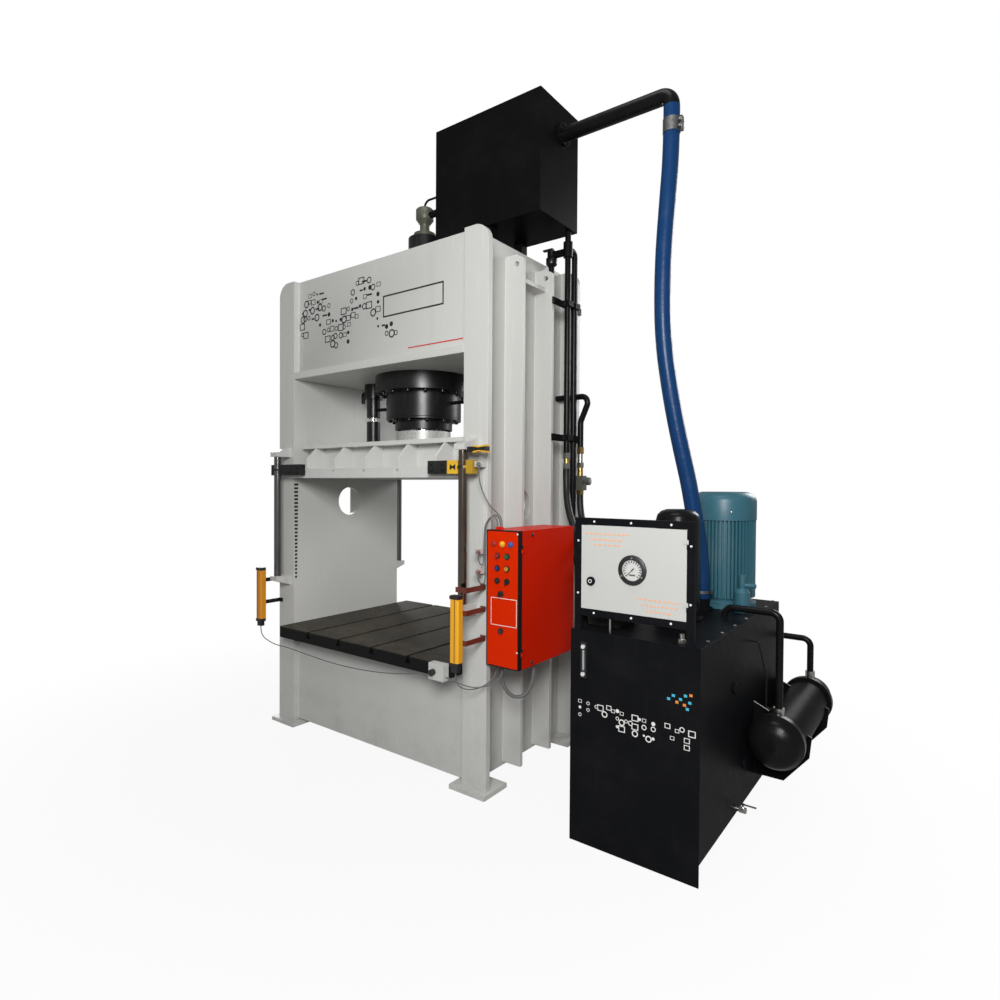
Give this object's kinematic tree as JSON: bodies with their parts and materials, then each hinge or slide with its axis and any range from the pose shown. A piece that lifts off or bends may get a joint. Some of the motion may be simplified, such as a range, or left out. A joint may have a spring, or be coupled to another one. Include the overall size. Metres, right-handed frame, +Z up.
{
  "type": "hydraulic press",
  "caption": "Straight-sided hydraulic press with a T-slot table, guided slide, control box, overhead oil tank and a floor-standing power pack joined by hoses.",
  "frame": {"origin": "on the floor, under the ram's centre, mid-way between the front and rear anchor holes", "axes": "+X to the operator's right, towards the power pack; +Y to the back; +Z up"},
  "size_m": [3.189, 1.649, 3.795],
  "materials": {
    "frame_grey": "satin paint",
    "table_steel": "oiled, ground",
    "cylinder_black": "satin paint",
    "junction_grey": "bare alloy",
    "bright_steel": "ground and chromed",
    "black_paint": "gloss paint",
    "black_plastic": "fine grain",
    "sensor_body": "nickel plated barrel",
    "guard_yellow": "powder coat",
    "box_red": "powder coat",
    "gear_grey": "moulded",
    "lamp_lens": "ribbed lens",
    "button_red": "moulded",
    "button_green": "moulded",
    "button_blue": "moulded",
    "button_yellow": "moulded",
    "button_black": "moulded",
    "pipe_steel": "zinc plated",
    "fitting_zinc": "yellow zinc plated",
    "hose_blue": "smooth cover",
    "hose_black": "smooth cover",
    "motor_teal": "satin paint",
    "panel_white": "satin paint",
    "dial_white": "dial behind a window",
    "valve_grey": "satin paint",
    "level_glass": "clear, oil behind",
    "conduit_black": "corrugated"
  },
  "bodies": {
    "press": {"left_upright": "frame_grey", "right_upright": "frame_grey", "foot_plates": "frame_grey", "crown": "frame_grey", "bed": "frame_grey", "bolster_table": "table_steel", "main_cylinder": "cylinder_black", "cylinder_gland": "cylinder_black", "prefill_valve": "black_paint", "pullback_cylinders": "cylinder_black", "guide_rods": "bright_steel", "rod_brackets": "frame_grey", "proximity_sensors": "sensor_body", "light_guards": "guard_yellow", "sensor_brackets": "black_paint", "control_box": "box_red", "control_gear": "gear_grey", "top_tank": "black_paint", "return_pipe": "black_paint", "rigid_pipes": "black_paint", "pack_tank": "black_paint", "tank_cover": "black_paint", "panel_frame": "black_paint", "tank_filters": "black_paint", "level_gauge": "level_glass", "motor_frame": "motor_teal", "motor_cowl": "motor_teal", "pump_unit": "gear_grey", "control_manifold": "valve_grey", "valve_bodies": "valve_grey", "pipe_fittings": "fitting_zinc", "oil_cooler": "black_paint", "clamps": "black_paint", "junction_block": "junction_grey", "blue_hose": "hose_blue", "pressure_hoses": "hose_black", "conduit_loop": "conduit_black", "sensor_cables": "conduit_black", "guard_cables": "conduit_black"},
    "slide": {"slide_platen": "frame_grey", "guide_blocks": "black_paint", "ram": "bright_steel", "pullback_rods": "bright_steel"},
    "box_door": {"control_door": "box_red", "pilot_lamps": "lamp_lens"},
    "red_button": {"push_button_red": "button_red"},
    "green_button": {"push_button_green": "button_green"},
    "blue_button": {"push_button_blue": "button_blue"},
    "yellow_button": {"push_button_yellow": "button_yellow"},
    "black_button": {"push_button_black": "button_black"},
    "selector": {"selector_switch": "button_black"},
    "key": {"key_switch": "bright_steel"},
    "box_lock": {"door_lock": "bright_steel"},
    "instrument_door": {"panel_door": "panel_white", "pressure_gauge": "dial_white"},
    "needle": {"gauge_needle": "button_black"},
    "instrument_lock": {"panel_lock": "black_plastic"},
    "rotor": {"motor_rotor": "pipe_steel"},
    "stop_lever": {"stop_valve_lever": "black_plastic"},
    "drain_handle": {"drain_lever": "pipe_steel"}
  },
  "joints": [
    {"name": "slide_stroke", "type": "slide", "parent": "press", "child": "slide", "axis": [0, 0, -1], "range_m": [0, 0.6]},
    {"name": "box_door_hinge", "type": "hinge", "parent": "press", "child": "box_door", "pos_m": [1.101, -0.4605, 1.033], "axis": [0, 0, 1], "range_deg": [0, 105]},
    {"name": "instrument_door_hinge", "type": "hinge", "parent": "press", "child": "instrument_door", "pos_m": [1.954, -0.54, 1.2], "axis": [0, 0, 1], "range_deg": [0, 100]},
    {"name": "needle_turn", "type": "hinge", "parent": "instrument_door", "child": "needle", "pos_m": [1.716, -0.536, 1.246], "axis": [0, 1, 0], "range_deg": [0, 270], "stiffness_Nm_per_rad": 0.002, "springref_deg": -11.46},
    {"name": "instrument_lock_turn", "type": "hinge", "parent": "instrument_door", "child": "instrument_lock", "pos_m": [1.522, -0.543, 1.183], "axis": [0, 1, 0], "range_deg": [0, 90]},
    {"name": "rotor_turn", "type": "hinge", "parent": "press", "child": "rotor", "pos_m": [1.78, 0.505, 1.2], "axis": [0, 0, 1], "continuous": true},
    {"name": "stop_lever_turn", "type": "hinge", "parent": "press", "child": "stop_lever", "pos_m": [0.805, 0.267, 3.04], "axis": [0, 0, 1], "range_deg": [0, 90]},
    {"name": "drain_handle_turn", "type": "hinge", "parent": "press", "child": "drain_handle", "pos_m": [2.043, -0.036, 0.146], "axis": [0, 0, 1], "range_deg": [0, 90]},
    {"name": "red_button_press", "type": "slide", "parent": "box_door", "child": "red_button", "axis": [0, 1, 0], "range_m": [0, 0.004], "stiffness_N_per_m": 900, "springref_m": -0.001},
    {"name": "green_button_press", "type": "slide", "parent": "box_door", "child": "green_button", "axis": [0, 1, 0], "range_m": [0, 0.004], "stiffness_N_per_m": 900, "springref_m": -0.001},
    {"name": "blue_button_press", "type": "slide", "parent": "box_door", "child": "blue_button", "axis": [0, 1, 0], "range_m": [0, 0.004], "stiffness_N_per_m": 900, "springref_m": -0.001},
    {"name": "yellow_button_press", "type": "slide", "parent": "box_door", "child": "yellow_button", "axis": [0, 1, 0], "range_m": [0, 0.004], "stiffness_N_per_m": 900, "springref_m": -0.001},
    {"name": "black_button_press", "type": "slide", "parent": "box_door", "child": "black_button", "axis": [0, 1, 0], "range_m": [0, 0.004], "stiffness_N_per_m": 900, "springref_m": -0.001},
    {"name": "selector_turn", "type": "hinge", "parent": "box_door", "child": "selector", "pos_m": [1.025, -0.481, 1.124], "axis": [0, 1, 0], "range_deg": [-45, 45]},
    {"name": "key_turn", "type": "hinge", "parent": "box_door", "child": "key", "pos_m": [0.988, -0.481, 1.06], "axis": [0, 1, 0], "range_deg": [0, 90]},
    {"name": "box_lock_turn", "type": "hinge", "parent": "box_door", "child": "box_lock", "pos_m": [0.988, -0.481, 0.873], "axis": [0, 1, 0], "range_deg": [0, 90]}
  ]
}
